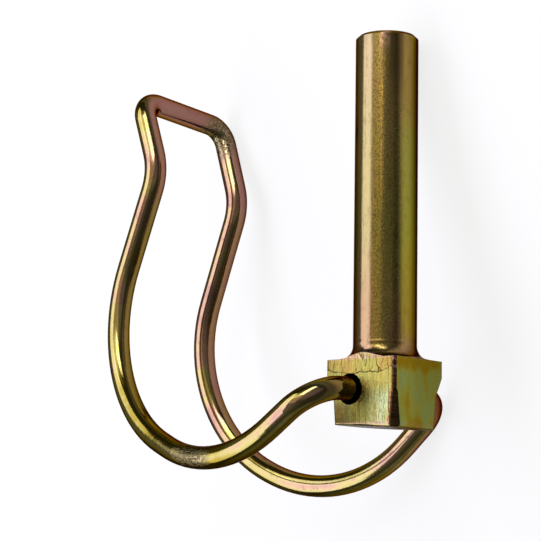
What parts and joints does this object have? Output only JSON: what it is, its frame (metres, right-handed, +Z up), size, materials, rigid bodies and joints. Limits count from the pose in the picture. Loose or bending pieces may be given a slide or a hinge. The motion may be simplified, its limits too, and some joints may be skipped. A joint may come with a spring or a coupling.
{
  "type": "lynch pin",
  "caption": "Headed locking pin with a swinging round-wire bail that loops over the tip to keep the pin in a cross-drilled tube.",
  "frame": {"origin": "centre of the overall box, on the floor it lies on", "axes": "+X along the pin from head to tip as it lies, +Y across the floor from the pin to the bail, +Z up"},
  "size_m": [0.0594, 0.05, 0.0309],
  "materials": {
    "plated_pin": "mottled yellow zinc plating over drawn and trimmed steel",
    "plated_wire": "smooth yellow zinc plating over spring wire"
  },
  "bodies": {
    "pin": {"headed_pin": "plated_pin"},
    "bail": {"wire_bail": "plated_wire"}
  },
  "joints": [
    {"name": "bail_swing", "type": "hinge", "parent": "pin", "child": "bail", "pos_m": [-0.01499, -0.01738, 0.0147], "axis": [-0.2315, 0.1564, -0.9602], "range_deg": [-120, 50]}
  ]
}
